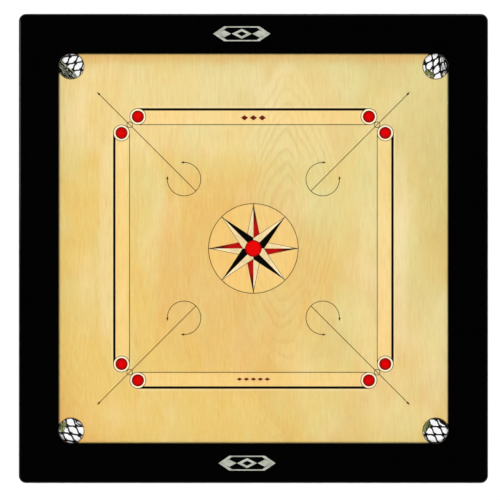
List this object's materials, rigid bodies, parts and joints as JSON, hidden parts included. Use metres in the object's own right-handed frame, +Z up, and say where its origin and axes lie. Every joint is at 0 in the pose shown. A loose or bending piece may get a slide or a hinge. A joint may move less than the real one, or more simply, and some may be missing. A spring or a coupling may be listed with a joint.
{
  "type": "carrom board",
  "caption": "Square carrom board: pale playing panel with printed bases, arrows and centre star in a black mitred frame, with a net under each corner pocket.",
  "frame": {"origin": "centre of the board on the surface that it stands on", "axes": "+Z up out of the playing surface, +X to the right and +Y to the back of the board"},
  "size_m": [0.8874, 0.8874, 0.0501],
  "materials": {
    "panel_veneer": "pale veneered plywood under a smooth clear lacquer",
    "frame_lacquer": "hardwood under black gloss lacquer",
    "raw_wood": "planed unfinished wood",
    "net_cord": "knotted black cord",
    "steel_wire": "bright wire",
    "screw_steel": "yellow zinc plated",
    "ink_black": "printed ink under lacquer",
    "ink_red": "printed ink under lacquer",
    "ink_dark_red": "printed ink under lacquer",
    "ink_pale": "printed ink under lacquer",
    "ink_maroon": "printed ink under lacquer",
    "ink_silver": "silver printed ink"
  },
  "bodies": {
    "root": {"playing_panel": "panel_veneer", "frame_rail_right": "frame_lacquer", "frame_rail_back": "frame_lacquer", "frame_rail_left": "frame_lacquer", "frame_rail_front": "frame_lacquer", "panel_cleat_right": "raw_wood", "panel_cleat_back": "raw_wood", "panel_cleat_left": "raw_wood", "panel_cleat_front": "raw_wood", "mitre_spline_back_right": "raw_wood", "mitre_spline_back_left": "raw_wood", "mitre_spline_front_left": "raw_wood", "mitre_spline_front_right": "raw_wood", "batten_lengthwise_left": "raw_wood", "batten_lengthwise_right": "raw_wood", "batten_crosswise_front": "raw_wood", "batten_crosswise_back": "raw_wood", "pocket_net_back_right": "net_cord", "pocket_net_back_left": "net_cord", "pocket_net_front_left": "net_cord", "pocket_net_front_right": "net_cord", "net_staples": "steel_wire", "batten_screws": "screw_steel", "cleat_screws": "screw_steel", "base_lines_bold": "ink_black", "base_lines_fine": "ink_black", "base_circles": "ink_black", "gap_circles": "ink_black", "corner_arrows": "ink_black", "outer_circle": "ink_black", "star_black": "ink_black", "star_outlines": "ink_black", "base_discs": "ink_red", "centre_disc": "ink_red", "star_red": "ink_dark_red", "star_pale": "ink_pale", "rail_emblem_back": "ink_silver", "rail_emblem_front": "ink_silver", "base_ornament_back": "ink_maroon", "base_ornament_front": "ink_maroon"}
  },
  "joints": []
}
